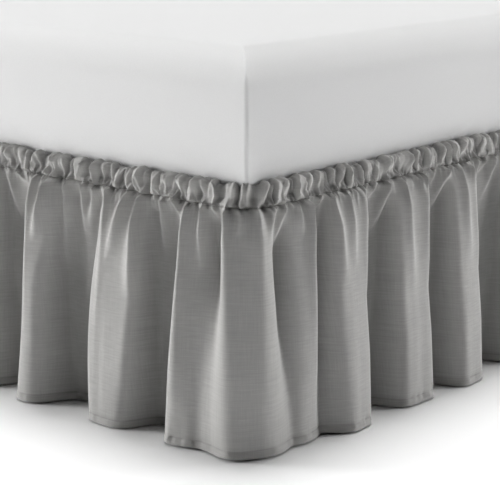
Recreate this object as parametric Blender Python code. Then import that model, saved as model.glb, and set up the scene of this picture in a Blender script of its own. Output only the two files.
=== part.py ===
"""A gathered bed skirt round the base of a bed, with the base, its legs and the mattress.

Metres, +Z up. The bed's long side runs along Y and the floor is z = 0.
The skirt is one ring of cloth, so a place on it is a distance along the seam line,
counted from the middle of the corner at +X, -Y, and a reach outwards from that line.
"""

import math
import random

import bmesh
import bpy

# Bed
BED_WIDTH = 1.52
BED_LENGTH = 2.03
BASE_BOTTOM = 0.180
BASE_TOP = 0.398
BASE_CORNER = 0.048
BASE_EDGE = 0.006
CORNER_STEPS = 5
TOP_EDGE_STEPS = 4
BOTTOM_EDGE_STEPS = 2
MATTRESS_TOP = 0.600
MATTRESS_CORNER = 0.034
MATTRESS_TOP_EDGE = 0.026
MATTRESS_BOTTOM_EDGE = 0.010
GAP = 0.0003

# Legs
LEG_INSET = 0.060
LEG_TOP_RADIUS = 0.024
LEG_FOOT_RADIUS = 0.018
LEG_SIDES = 16

# Seam line, where the heading is stitched to the ruffle
SEAM_CLEARANCE = 0.008
SEAM_HEIGHT = 0.3735
SEAM_X = BED_WIDTH / 2 + SEAM_CLEARANCE
SEAM_Y = BED_LENGTH / 2 + SEAM_CLEARANCE
SEAM_CORNER = BASE_CORNER + SEAM_CLEARANCE
CORNER_ARC = SEAM_CORNER * math.pi / 2
SEAM_LENGTH = 4 * (SEAM_X + SEAM_Y - 2 * SEAM_CORNER + CORNER_ARC)

# Cloth
CLOTH_THICKNESS = 0.002
HEM_HEIGHT = 0.004
RUFFLE_ROWS = (0.0, 0.12, 0.30, 0.60, 1.0)

# How much of a crest's reach at the hem it has at each share of the drop; a valley draws in later
DEEPENING = (
    # drop, share
    (0.00, 0.00),
    (0.05, 0.24),
    (0.12, 0.37),
    (0.30, 0.62),
    (0.45, 0.79),
    (0.70, 0.93),
    (1.00, 1.00),
)
INWARD_POWER = 1.5

# Crests and valleys of the hem at the corner at +X, -Y: place along the seam line, reach outside it,
# half the width of the flat part, and how far along the fold starts at the seam.
CORNER_FOLDS = (
    # along, reach, half_flat, lean
    (-0.580, 0.055, 0.018, 0.000),
    (-0.496, 0.004, 0.010, 0.000),
    (-0.427, 0.063, 0.014, 0.000),
    (-0.345, -0.006, 0.012, 0.000),
    (-0.248, 0.055, 0.030, 0.006),
    (-0.158, -0.004, 0.012, 0.004),
    (-0.095, 0.047, 0.014, 0.000),
    (-0.034, 0.061, 0.012, 0.004),
    (0.040, 0.038, 0.010, 0.000),
    (0.106, 0.037, 0.008, 0.016),
    (0.192, 0.067, 0.012, 0.034),
    (0.283, -0.011, 0.020, 0.030),
    (0.366, 0.059, 0.024, 0.022),
    (0.438, 0.027, 0.004, 0.020),
    (0.510, 0.069, 0.018, 0.020),
    (0.608, -0.008, 0.024, 0.010),
)

# Folds elsewhere, spread evenly with some unevenness
FOLD_PITCH = 0.170
FOLD_SPREAD = 0.10
CREST_REACH = (0.050, 0.066)
VALLEY_REACH = (-0.008, 0.006)
SHALLOW_REACH = (0.022, 0.038)
SHALLOW_SHARE = 0.15
CREST_HALF_FLAT = (0.012, 0.028)
VALLEY_HALF_FLAT = (0.008, 0.018)
FOLD_LEAN = (-0.015, 0.015)
FOLD_SEED = 5

# Gathers of the corner: each starts as a ridge at the seam and dies out, mostly on a neighbour.
# Place at the seam, place where it ends, share of the drop where it ends, and reach.
CORNER_GATHERS = (
    # along, end, end_drop, reach
    (-0.494, -0.455, 0.22, 0.006),
    (-0.470, -0.440, 0.09, 0.005),
    (-0.442, -0.430, 0.40, 0.008),
    (-0.412, -0.424, 0.24, 0.008),
    (-0.392, -0.406, 0.07, 0.005),
    (-0.374, -0.396, 0.42, 0.009),
    (-0.352, -0.348, 0.08, 0.004),
    (-0.330, -0.326, 0.20, 0.006),
    (-0.306, -0.322, 0.18, 0.006),
    (-0.286, -0.270, 0.07, 0.005),
    (-0.264, -0.272, 0.38, 0.008),
    (-0.238, -0.256, 0.26, 0.008),
    (-0.208, -0.225, 0.42, 0.009),
    (-0.174, -0.165, 0.08, 0.004),
    (-0.152, -0.154, 0.24, 0.006),
    (-0.128, -0.104, 0.13, 0.006),
    (-0.106, -0.100, 0.42, 0.008),
    (-0.080, -0.074, 0.20, 0.007),
    (-0.052, -0.044, 0.07, 0.004),
    (-0.030, -0.024, 0.60, 0.007),
    (-0.010, -0.014, 0.10, 0.005),
    (0.012, 0.002, 0.24, 0.006),
    (0.040, 0.034, 0.50, 0.006),
    (0.070, 0.042, 0.18, 0.006),
    (0.094, 0.108, 0.14, 0.005),
    (0.128, 0.112, 0.60, 0.007),
    (0.148, 0.132, 0.09, 0.005),
    (0.168, 0.184, 0.36, 0.007),
    (0.196, 0.186, 0.11, 0.005),
    (0.224, 0.246, 0.09, 0.005),
    (0.252, 0.238, 0.45, 0.008),
    (0.278, 0.262, 0.08, 0.005),
    (0.308, 0.276, 0.24, 0.007),
    (0.336, 0.344, 0.40, 0.007),
    (0.358, 0.362, 0.06, 0.004),
    (0.380, 0.392, 0.11, 0.005),
    (0.406, 0.398, 0.42, 0.008),
    (0.438, 0.432, 0.08, 0.004),
    (0.466, 0.426, 0.21, 0.007),
    (0.492, 0.504, 0.32, 0.007),
    (0.524, 0.536, 0.11, 0.005),
    (0.554, 0.542, 0.40, 0.008),
    (0.582, 0.570, 0.08, 0.005),
    (0.608, 0.590, 0.18, 0.006),
)

# Gathers elsewhere: those near a crest run on to it, the middle and outer ones furthest down
GATHER_PITCH = 0.0275
GATHER_SPREAD = 0.18
GATHER_DRAW = (0.30, 0.45)
GATHER_RANGE = 0.085
GATHER_ENDS = (0.40, 0.24, 0.40, 0.18)
GATHER_END_SPREAD = 0.35
GATHER_REACH = (0.005, 0.009)
GATHER_HALF_WIDTH = 0.013
GATHER_WIDENING = 0.040
GATHER_AT_SEAM = 0.55
PLEAT_DEPTH = 0.0042
PLEAT_END = 0.16
GATHER_SEED = 23

# Heading
HEADING_BOTTOM = SEAM_HEIGHT + 0.0008
HEADING_GRIP = 0.001
HEADING_BACK = 0.387
HEADING_BELLY = (0.389, 0.395)
HEADING_TOP = (0.4080, 0.4125)
HEADING_DIP = 0.005
PINCH_REACH = (0.0008, 0.0020)
PUFF_REACH = (0.0095, 0.0135)
CREASE_REACH = (0.0005, 0.0030)
TOP_EDGE_REACH = (0.0010, 0.0035)
HEADING_SEED = 11


def clear_scene():
    for old in list(bpy.data.objects):
        bpy.data.objects.remove(old, do_unlink=True)


def make_material(name, colour, roughness):
    material = bpy.data.materials.new(name)
    material.use_nodes = True
    shader = material.node_tree.nodes["Principled BSDF"]
    shader.inputs["Base Color"].default_value = (*colour, 1.0)
    shader.inputs["Roughness"].default_value = roughness
    shader.inputs["Metallic"].default_value = 0.0
    return material


def add_object(name, bm, material, smooth_angle=math.radians(35)):
    mesh = bpy.data.meshes.new(name)
    bm.to_mesh(mesh)
    bm.free()
    mesh.materials.append(material)
    mesh.shade_smooth()
    mesh.set_sharp_from_angle(angle=smooth_angle)
    thing = bpy.data.objects.new(name, mesh)
    bpy.context.scene.collection.objects.link(thing)
    return thing


def seam_point(along, reach, height):
    """A point outside the seam line by reach, at a distance along it from the middle of the first corner."""
    left = (along + CORNER_ARC / 2) % SEAM_LENGTH
    for side in range(4):
        run = 2 * ((SEAM_Y if side % 2 == 0 else SEAM_X) - SEAM_CORNER)
        if left < CORNER_ARC + run or side == 3:
            break
        left -= CORNER_ARC + run
    turned = side * math.pi / 2
    centre_x = (SEAM_X - SEAM_CORNER) * (1 if side < 2 else -1)
    centre_y = (SEAM_Y - SEAM_CORNER) * (1 if side in (1, 2) else -1)
    angle = turned - math.pi / 2 + min(left, CORNER_ARC) / SEAM_CORNER
    straight = max(left - CORNER_ARC, 0.0)
    x = centre_x + (SEAM_CORNER + reach) * math.cos(angle) - straight * math.sin(angle)
    y = centre_y + (SEAM_CORNER + reach) * math.sin(angle) + straight * math.cos(angle)
    return x, y, height


def lay_out_folds():
    """All crests and valleys round the bed: the corner's own, then seeded ones back to where those start."""
    draw = random.Random(FOLD_SEED)
    first = CORNER_FOLDS[0][0] + SEAM_LENGTH
    last = CORNER_FOLDS[-1][0]
    pairs = round((first - last) / FOLD_PITCH - 0.5)
    step = (first - last) / (2 * pairs + 1)
    folds = list(CORNER_FOLDS)
    for index in range(1, 2 * pairs + 1):
        along = last + step * (index + draw.uniform(-FOLD_SPREAD, FOLD_SPREAD))
        lean = draw.uniform(*FOLD_LEAN)
        if index % 2:
            folds.append((along, draw.uniform(*CREST_REACH), draw.uniform(*CREST_HALF_FLAT), lean))
            continue
        shallow = draw.random() < SHALLOW_SHARE
        reach = draw.uniform(*(SHALLOW_REACH if shallow else VALLEY_REACH))
        folds.append((along, reach, draw.uniform(*VALLEY_HALF_FLAT), lean))
    return folds


def lay_out_gathers(folds):
    """All gathers round the bed, as rows of place at the seam, place at the end, end of drop and reach."""
    draw = random.Random(GATHER_SEED)
    crests = [along + lean for along, reach, _, lean in folds if reach > CREST_REACH[0]]
    first = CORNER_GATHERS[0][0] + SEAM_LENGTH
    last = CORNER_GATHERS[-1][0]
    count = round((first - last) / GATHER_PITCH)
    step = (first - last) / count
    gathers = list(CORNER_GATHERS)
    for index in range(1, count):
        along = last + step * (index + draw.uniform(-GATHER_SPREAD, GATHER_SPREAD))
        offset = min((along - crest for crest in crests), key=abs)
        rank = min(int(abs(offset) / GATHER_PITCH + 0.5), len(GATHER_ENDS) - 1)
        end_drop = GATHER_ENDS[rank] * draw.uniform(1 - GATHER_END_SPREAD, 1 + GATHER_END_SPREAD)
        drawn = offset * draw.uniform(*GATHER_DRAW) if abs(offset) < GATHER_RANGE else 0.0
        gathers.append((along, along - drawn, end_drop, draw.uniform(*GATHER_REACH)))
    return gathers


def shape_between(table, value):
    """Straight-line reading of a table of pairs."""
    for (low, less), (high, more) in zip(table, table[1:]):
        if value <= high:
            break
    return less + (more - less) * (value - low) / (high - low)


def fold_reach(along, drop, folds):
    """Reach of the large folds: flat at each crest and valley, with a smooth flank between neighbours."""
    first = folds[0][0]
    along = first + (along - first) % SEAM_LENGTH
    following = folds[1:] + [(folds[0][0] + SEAM_LENGTH, *folds[0][1:])]
    for (here, near, near_flat, near_lean), (there, far, far_flat, far_lean) in zip(folds, following):
        if along <= there + far_lean * (1 - drop):
            break
    start = here + near_lean * (1 - drop) + near_flat
    end = there + far_lean * (1 - drop) - far_flat
    share = min(max((along - start) / (end - start), 0.0), 1.0)
    hem = near + (far - near) * share * share * (3 - 2 * share)
    return hem * (shape_between(DEEPENING, drop) if hem > 0 else drop**INWARD_POWER)


def gather_reach(along, drop, gathers):
    """Reach of the ridges that start at the gathers, over the pleats drawn in between them."""
    reach = -PLEAT_DEPTH * max(0.0, 1 - drop / PLEAT_END)
    half_width = GATHER_HALF_WIDTH + GATHER_WIDENING * drop
    for start, end, end_drop, height in gathers:
        if drop >= end_drop:
            continue
        gone = drop / end_drop
        place = start + (end - start) * gone
        off = abs((along - place + SEAM_LENGTH / 2) % SEAM_LENGTH - SEAM_LENGTH / 2)
        if off < half_width:
            grown = GATHER_AT_SEAM + (1 - GATHER_AT_SEAM) * min(1.0, drop / RUFFLE_ROWS[1])
            swell = height * (1 - gone) * grown + PLEAT_DEPTH * max(0.0, 1 - drop / PLEAT_END)
            reach += swell * (1 - off / half_width)
    return reach


def columns_at(gathers):
    """A column on each gather and one midway to the next, in order along the seam line."""
    starts = [gather[0] for gather in gathers] + [gathers[0][0] + SEAM_LENGTH]
    return [place for here, there in zip(starts, starts[1:]) for place in (here, (here + there) / 2)]


def bevel(bm, edges, width, segments):
    bmesh.ops.bevel(
        bm, geom=edges, offset=width, offset_type="OFFSET", segments=segments,
        profile=0.5, affect="EDGES", clamp_overlap=True, material=-1,
    )


def rounded_block(name, material, bottom, top, corner, bottom_edge, top_edge):
    """A block on the bed's plan, with round corners and softer top and bottom edges."""
    bm = bmesh.new()
    bmesh.ops.create_cube(bm, size=1.0)
    bmesh.ops.scale(bm, vec=(BED_WIDTH, BED_LENGTH, top - bottom), verts=bm.verts)
    bmesh.ops.translate(bm, vec=(0, 0, (top + bottom) / 2), verts=bm.verts)
    upright = [e for e in bm.edges if abs(e.verts[0].co.z - e.verts[1].co.z) > GAP]
    bevel(bm, upright, corner, CORNER_STEPS)
    rims = ((top, top_edge, TOP_EDGE_STEPS), (bottom, bottom_edge, BOTTOM_EDGE_STEPS))
    for height, width, segments in rims:
        rim = [e for e in bm.edges if all(abs(v.co.z - height) < GAP for v in e.verts)]
        bevel(bm, rim, width, segments)
    return add_object(name, bm, material)


def ring_of_cloth(columns, rows, place, closed_section=False):
    """A grid wrapped round the bed. place(column, row) gives each point, and the seam is welded."""
    bm = bmesh.new()
    bmesh.ops.create_grid(bm, x_segments=columns, y_segments=rows, size=1.0)
    for vert in bm.verts:
        column = round((vert.co.x + 1) / 2 * columns) % columns
        row = round((vert.co.y + 1) / 2 * rows)
        vert.co = place(column, row % rows if closed_section else row)
    bmesh.ops.remove_doubles(bm, verts=bm.verts, dist=1e-6)
    return bm


def make_skirt(material, folds, gathers):
    columns = columns_at(gathers)
    drop_length = SEAM_HEIGHT - HEM_HEIGHT
    shares = RUFFLE_ROWS[::-1]

    def place(column, row):
        along = columns[column]
        drop = shares[row]
        reach = fold_reach(along, drop, folds) + gather_reach(along, drop, gathers)
        return seam_point(along, reach, SEAM_HEIGHT - drop_length * drop)

    skirt = add_object("skirt", ring_of_cloth(len(columns), len(shares) - 1, place), material)
    shell = skirt.modifiers.new("Thickness", "SOLIDIFY")
    shell.thickness = CLOTH_THICKNESS
    shell.offset = 0.0


def make_heading(material, gathers):
    """The shirred casing: a puff over each gather of the ruffle and a crease between two of them."""
    draw = random.Random(HEADING_SEED)
    columns = columns_at(gathers)
    sections = []
    for column in range(len(columns)):
        puff = column % 2 == 0
        pinch = draw.uniform(*PINCH_REACH) * (1 if puff else -1)
        belly = draw.uniform(*(PUFF_REACH if puff else CREASE_REACH))
        top = draw.uniform(*HEADING_TOP) - (0.0 if puff else HEADING_DIP)
        sections.append((
            (pinch, HEADING_BOTTOM),
            (belly, draw.uniform(*HEADING_BELLY)),
            (draw.uniform(*TOP_EDGE_REACH), top),
            (HEADING_GRIP - SEAM_CLEARANCE, HEADING_BACK),
        ))

    def place(column, row):
        reach, height = sections[column][row]
        return seam_point(columns[column], reach, height)

    rows = len(sections[0])
    return add_object("heading", ring_of_cloth(len(columns), rows, place, closed_section=True), material)


def make_legs(material):
    out_x = BED_WIDTH / 2 - LEG_INSET
    out_y = BED_LENGTH / 2 - LEG_INSET
    height = BASE_BOTTOM - GAP
    bm = bmesh.new()
    bmesh.ops.create_cone(
        bm, cap_ends=True, segments=LEG_SIDES, radius1=LEG_FOOT_RADIUS, radius2=LEG_TOP_RADIUS, depth=height
    )
    places = [(x, y) for y in (-out_y, 0.0, out_y) for x in (-out_x, out_x)]
    first = add_object("leg_1", bm, material)
    for number, (x, y) in enumerate(places, start=1):
        leg = first if number == 1 else bpy.data.objects.new(f"leg_{number}", first.data)
        if number > 1:
            bpy.context.scene.collection.objects.link(leg)
        leg.location = (x, y, height / 2)


def main():
    clear_scene()
    grey_cloth = make_material("grey_cloth", (0.235, 0.232, 0.225), 0.9)
    white_sheet = make_material("white_sheet", (0.82, 0.82, 0.82), 0.85)
    base_cover = make_material("base_cover", (0.62, 0.61, 0.58), 0.9)
    leg_wood = make_material("leg_wood", (0.18, 0.11, 0.07), 0.45)
    folds = lay_out_folds()
    gathers = lay_out_gathers(folds)
    rounded_block("bed_base", base_cover, BASE_BOTTOM, BASE_TOP, BASE_CORNER, BASE_EDGE, BASE_EDGE)
    rounded_block(
        "mattress", white_sheet, BASE_TOP + GAP, MATTRESS_TOP,
        MATTRESS_CORNER, MATTRESS_BOTTOM_EDGE, MATTRESS_TOP_EDGE,
    )
    make_heading(grey_cloth, gathers)
    make_skirt(grey_cloth, folds, gathers)
    make_legs(leg_wood)


main()
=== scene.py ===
"""Finish of a gathered bed skirt: ruffle, shirred heading, sheeted mattress, base, legs and a studio stage.

Metres, +Z up. The skirt is one ring of cloth, so a place on it is a distance along the seam line,
counted from the middle of the corner at +X, -Y, and a reach outwards from that line.
"""

import math
import random

import bmesh
import bpy
import numpy as np
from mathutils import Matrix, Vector


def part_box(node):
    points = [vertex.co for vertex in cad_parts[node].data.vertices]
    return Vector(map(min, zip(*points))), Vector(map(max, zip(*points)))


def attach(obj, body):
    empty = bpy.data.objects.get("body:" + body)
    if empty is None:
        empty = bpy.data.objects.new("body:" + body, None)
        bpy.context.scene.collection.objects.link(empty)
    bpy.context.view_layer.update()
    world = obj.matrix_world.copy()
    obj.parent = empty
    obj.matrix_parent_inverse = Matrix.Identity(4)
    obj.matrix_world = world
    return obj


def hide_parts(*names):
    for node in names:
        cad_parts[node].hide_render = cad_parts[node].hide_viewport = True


bl_info = {
    "name": "Gathered Bed Skirt",
    "version": (1, 0, 0),
    "blender": (4, 5, 0),
    "location": "View3D > Sidebar > Bed Skirt",
    "description": "Makes a gathered bed skirt with its heading, mattress and studio stage",
    "category": "Object",
}

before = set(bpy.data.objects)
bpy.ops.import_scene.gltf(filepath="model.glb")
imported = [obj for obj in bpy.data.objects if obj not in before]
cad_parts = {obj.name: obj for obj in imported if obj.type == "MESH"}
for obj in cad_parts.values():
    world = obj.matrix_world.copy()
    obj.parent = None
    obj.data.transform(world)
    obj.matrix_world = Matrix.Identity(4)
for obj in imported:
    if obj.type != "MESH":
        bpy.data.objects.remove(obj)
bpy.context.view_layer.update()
BASE_LOW, BASE_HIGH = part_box("bed_base")
MATTRESS_LOW, MATTRESS_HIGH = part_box("mattress")
BODY = "root"
MILLIMETRE = 0.001

# Seam line, where the heading is stitched to the ruffle
BASE_CORNER = 0.048
SEAM_CLEARANCE = 0.008
SEAM_HEIGHT = 0.3735
SEAM_X = BASE_HIGH.x + SEAM_CLEARANCE
SEAM_Y = BASE_HIGH.y + SEAM_CLEARANCE
SEAM_CORNER = BASE_CORNER + SEAM_CLEARANCE
CORNER_ARC = SEAM_CORNER * math.pi / 2
SEAM_LENGTH = 4 * (SEAM_X + SEAM_Y - 2 * SEAM_CORNER + CORNER_ARC)
CLOTH_FULLNESS = 1.45
PANELS = 4

# Flutes at the corner at +X, -Y. Each has a shoulder at either side, given as its place along the seam line
# at the hem, how far along from there it starts at the seam, and how far it bows out between the two.
# Then come the reach at each shoulder and the width of the flank that falls from it.
CORNER_FLUTES = (
    # left shoulder, right shoulder, left reach, right reach, left side, right side
    ((-0.620, 0.000, 0.000), (-0.553, 0.020, 0.000), 0.050, 0.052, 0.040, 0.050),
    ((-0.436, 0.008, 0.004), (-0.418, 0.043, -0.012), 0.060, 0.062, 0.035, 0.046),
    ((-0.269, 0.008, -0.014), (-0.222, 0.027, 0.008), 0.052, 0.056, 0.035, 0.036),
    ((-0.105, 0.014, 0.000), (-0.048, -0.042, 0.000), 0.053, 0.037, 0.034, 0.080),
    ((-0.017, -0.004, 0.000), (0.014, 0.003, 0.000), 0.058, 0.048, 0.018, 0.044),
    ((0.082, -0.004, 0.000), (0.108, -0.003, 0.000), 0.041, 0.037, 0.060, 0.028),
    ((0.168, 0.004, -0.006), (0.208, 0.020, 0.000), 0.065, 0.060, 0.046, 0.038),
    ((0.323, -0.003, 0.000), (0.383, 0.003, 0.000), 0.059, 0.055, 0.032, 0.036),
    ((0.478, -0.003, 0.000), (0.524, 0.008, 0.000), 0.064, 0.061, 0.033, 0.036),
    ((0.655, 0.004, 0.000), (0.700, 0.008, 0.000), 0.060, 0.058, 0.030, 0.040),
)

# At shares of the drop: share of a flute's reach at the hem, reach of the valleys, share of the flanks'
# width, and the distance over which edges are rounded
DEEPENING = (
    (0.00, 0.05), (0.02, 0.13), (0.05, 0.22), (0.12, 0.36),
    (0.30, 0.56), (0.45, 0.69), (0.70, 0.88), (1.00, 1.00),
)
VALLEY_FLOOR = ((0.00, 0.000), (0.06, -0.004), (0.50, -0.004), (0.70, -0.008), (1.00, -0.008))
FLUTE_WIDTH = ((0.00, 0.40), (0.30, 0.52), (0.50, 0.62), (0.80, 0.84), (1.00, 1.00))
FLUTE_SOFTENING = ((0.0, 0.0025), (0.25, 0.0035), (0.60, 0.0060), (1.0, 0.0090))
SOFTENING_STEPS = np.linspace(-2.2, 2.2, 9)

# Fillet in the valleys and the share of the drop where it is full, the curve of a flank and its fall
# under the valley, and the furthest that a flute reaches along the seam line
VALLEY_FILLET = 0.005
FILLET_GROWN = 0.3
FLANK_POWERS = (2.2, 0.75)
FLANK_FALL = 4
FLUTE_EXTENT = 0.16

# Flutes elsewhere, spread evenly with some unevenness
FLUTE_PITCH = 0.168
FLUTE_SPREAD = 0.14
FLUTE_REACH = (0.046, 0.068)
FLUTE_TOP = (0.020, 0.062)
FLUTE_SIDE = (0.034, 0.050)
FLUTE_LEAN = (-0.020, 0.020)
FLUTE_TILT = 0.005
LOW_FLUTE_SHARE = 0.22
LOW_FLUTE_REACH = (0.014, 0.034)
FLUTE_SEED = 5

# Gathers of the corner: each starts as a ridge at the seam and dies out, mostly on a neighbour.
# Place at the seam, place where it ends, share of the drop where it ends, and reach.
CORNER_GATHERS = (
    # along, end, end_drop, reach
    (-0.497, -0.484, 0.24, 0.015),
    (-0.478, -0.444, 0.08, 0.010),
    (-0.425, -0.422, 0.70, 0.016),
    (-0.406, -0.412, 0.06, 0.010),
    (-0.386, -0.417, 0.30, 0.028),
    (-0.351, -0.378, 0.44, 0.026),
    (-0.336, -0.336, 0.06, 0.008),
    (-0.318, -0.328, 0.26, 0.019),
    (-0.290, -0.324, 0.24, 0.020),
    (-0.272, -0.266, 0.06, 0.010),
    (-0.254, -0.264, 0.70, 0.016),
    (-0.234, -0.238, 0.05, 0.008),
    (-0.213, -0.255, 0.34, 0.022),
    (-0.184, -0.196, 0.44, 0.026),
    (-0.166, -0.162, 0.08, 0.010),
    (-0.146, -0.152, 0.26, 0.018),
    (-0.118, -0.094, 0.14, 0.017),
    (-0.088, -0.092, 0.95, 0.018),
    (-0.061, -0.062, 0.28, 0.018),
    (-0.042, -0.038, 0.07, 0.010),
    (-0.023, -0.018, 1.25, 0.018),
    (-0.006, -0.009, 0.12, 0.018),
    (0.032, 0.018, 0.16, 0.015),
    (0.012, 0.012, 1.10, 0.018),
    (0.054, 0.034, 0.20, 0.015),
    (0.080, 0.088, 0.16, 0.014),
    (0.103, 0.097, 0.90, 0.020),
    (0.140, 0.132, 0.07, 0.010),
    (0.160, 0.170, 0.40, 0.014),
    (0.194, 0.196, 0.34, 0.013),
    (0.224, 0.246, 0.10, 0.012),
    (0.240, 0.226, 0.45, 0.015),
    (0.278, 0.262, 0.08, 0.010),
    (0.308, 0.276, 0.24, 0.018),
    (0.336, 0.344, 0.50, 0.017),
    (0.358, 0.362, 0.06, 0.009),
    (0.380, 0.392, 0.14, 0.014),
    (0.393, 0.392, 0.50, 0.016),
    (0.438, 0.432, 0.08, 0.010),
    (0.466, 0.426, 0.21, 0.018),
    (0.492, 0.504, 0.44, 0.016),
    (0.524, 0.536, 0.14, 0.014),
    (0.554, 0.542, 0.48, 0.016),
    (0.582, 0.570, 0.08, 0.012),
    (0.608, 0.590, 0.20, 0.017),
)

# Gathers elsewhere: those near a crest run on to it, the middle and outer ones furthest down
GATHER_PITCH = 0.0275
GATHER_SPREAD = 0.20
GATHER_DRAW = (0.30, 0.45)
GATHER_RANGE = 0.085
GATHER_ENDS = (0.70, 0.26, 0.48, 0.18)
GATHER_END_SPREAD = 0.40
GATHER_REACH = (0.011, 0.018)
GATHER_SEED = 23

# Profile of a gather's ridge at shares of the drop: knife-edged at the seam, broad and soft further down
RIDGE_ROUND = ((0.0, 0.0008), (0.06, 0.0020), (0.15, 0.0042), (0.40, 0.0060), (1.0, 0.0080))
RIDGE_WIDTH = ((0.0, 0.0055), (0.1, 0.0100), (0.5, 0.0165), (1.0, 0.0240))
RIDGE_GROWTH = ((0.0, 0.50), (0.015, 0.90), (0.04, 0.95), (0.10, 1.00))
RIDGE_VEER = 1.3
RIDGE_BLEND = 2.6
RIDGE_SKEW = 0.25
RIDGE_EXTENT = 7

# Small pleats drawn in by the stitching, and the swelling of the bunched cloth under it
PLEAT_PITCH = 0.0085
PLEAT_REACH = (0.0030, 0.0070)
PLEAT_LENGTH = (0.006, 0.020)
PLEAT_WIDTH = 0.0016
PLEAT_SPREAD = 0.10
PLEAT_UNEVEN = 0.3
PLEAT_EXTENT = 0.02
PLEAT_START = 0.62
PLEAT_GROWTH = 0.004
SEAM_DRAW_IN = 0.0010
SEAM_DRAW_FADE = 0.003
SEAM_SWELL = 0.0060
SEAM_SWELL_END = 0.30

# Puckers that the stitches draw across the seam, on both sides of it
STITCH_PITCH = 0.0040
STITCH_LEAN = 0.5
STITCH_REACH = 0.0030
STITCH_JAG = 0.0013
STITCH_FADE = 0.0065
# Painted light and shade along the puckers, and the most painted light on them
STITCH_SHADING = 1.5
STITCH_LIT = 0.3
STITCH_SEED = 71

# Painted shade in the ruffle's colour: reach at the hem above which the cloth is left unshaded, least such
# reach, share of the drop where the painted shade in hollows is full, and fade of the painted shade in the
# pinches
UNSHADED_REACH = 0.040
UNSHADED_LEAST = 0.004
HOLLOW_GROWN = 0.10
PINCH_FADE = 0.005

# Soft unevenness of the ruffle
CREASES = (
    # reach, pitch, seed, share of the drop where it is full
    (0.0024, 0.045, 51, 0.2),
    (0.0007, 0.016, 57, 0.1),
)

# Hem: its edge's height over the floor, the waves of that edge, the turned-up cloth and its line of stitches
HEM_EDGE = 0.0024
HEM_UNEVEN = 0.0014
HEM_WAVES = ((0.11, 41), (0.030, 42))
HEM_DEPTH = 0.012
HEM_THICKNESS = 0.0013
HEM_GROOVE = 0.0016
HEM_GROOVE_WIDTH = 0.002
# Painted shade in the groove along the hem's line of stitches: its width, its strength, and how much the
# hem's puckers vary it
HEM_GROOVE_SHADE_WIDTH = 0.0015
HEM_GROOVE_SHADE = 0.45
HEM_GROOVE_SHADE_VARIES = 0.35
HEM_PUCKER = 0.0018
HEM_PUCKER_PITCH = 0.008
HEM_PUCKER_SEED = 43
HEM_PUCKER_PLACE = 0.7 * HEM_DEPTH
HEM_PUCKER_FADE = 0.005
FULL_DROP = SEAM_HEIGHT - HEM_EDGE

# Rows of points up the ruffle: heights over the hem's edge, distances below the seam, then even steps
HEM_ROWS = (0.0005, 0.0012, 0.0022, 0.006, HEM_DEPTH - 0.002, HEM_DEPTH, HEM_DEPTH + 0.002, 0.020)
SEAM_ROWS = (
    0.0, 0.0016, 0.0034, 0.0055, 0.008, 0.011, 0.0145, 0.0185, 0.023, 0.028, 0.034, 0.041, 0.049, 0.058,
)
EVEN_ROWS = 22
FIRST_EVEN_ROW = 0.068
EVEN_ROW_STEP = 0.0125

# Heading: folds from the stitching to the top edge, with smaller ones between them that die out
HEADING_HEIGHT = 0.0355
HEADING_SWELL = 0.0040
HEADING_BELLY = (
    (0.0, 0.02), (0.05, 0.15), (0.14, 0.45), (0.30, 0.88), (0.70, 1.0), (0.90, 0.85), (1.0, 0.42),
)
HEADING_ROWS = (
    0.0, 0.025, 0.06, 0.10, 0.15, 0.21, 0.28, 0.36, 0.44, 0.52, 0.60, 0.68, 0.76, 0.83, 0.89, 0.94, 0.98,
)
HEADING_GRIP = 0.0012
HEADING_FOOT_FADE = 0.4
# Painted shade in the pinches at the heading's stitched foot, and its fade
HEADING_PINCH = 1.2
HEADING_PINCH_FADE = 0.003
SEAM_GAP = 0.0004

# Folds of each kind: pitch, reach, spread to the steep and to the gentle side and turn in pitches,
# roundness to draw from, and seed
PUFFS = (0.0215, (0.0080, 0.0150), ((0.16, 0.34), (0.55, 0.95)), 0.65, (0.03, 0.06, 0.15), 14)
CRUMPLES = (0.0105, (0.0016, 0.0066), ((0.22, 0.40), (0.45, 0.85)), 1.3, (0.04, 0.12), 12)
PUFF_SPREAD = 0.34
PUFF_BEND = 0.3
PUFF_SPANS = ((-0.6, 1.7), (-0.5, 1.2), (-0.1, 1.7), (0.2, 1.8))
PUFF_PIVOT = 0.3
STEEP_LEFT_SHARES = (0.8, 0.5)
PUFF_OVERHANG = 0.25
# Reach at which a fold counts as full, which sets the rim's scallops and the painted shade and light on the
# folds, and the most painted light on them
PUFF_RELIEF = 0.0095
PUFF_SHADING_MOST = 1.5

# Top edge of the heading: how far it dips between folds, rises at them and wavers, and how it rolls over
RIM_DIP = 0.0045
RIM_SCALLOP = 0.0052
RIM_SCALLOP_MOST = 1.4
RIM_WAVES = ((0.0010, 0.06, 63), (0.0010, 0.006, 65))
RIM_FOLD_SHARE = 0.25
RIM_SET_BACK = 0.0010
RIM_DEPTH = 0.0035
RIM_FALL = 0.0006

# Cloth in the heading's casing, and length that the weave's pattern has there, in heights of the heading
CASING_PATTERN = 2.4

# Mattress: points round each corner and along the straights, rows up the walls and round the top edge
CORNER_POINTS = 20
LONG_POINTS = 52
SHORT_POINTS = 40
WALL_ROWS = 9
TOP_EDGE_ROWS = 12
BOTTOM_EDGE_TURNS = (0.5, 1.0, 1.35)
FLAT_INSETS = (0.02, 0.05)
MATTRESS_BULGE = 0.002
CORNER_TIGHTENING = 0.25
CORNER_LEAST = 0.3

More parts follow.
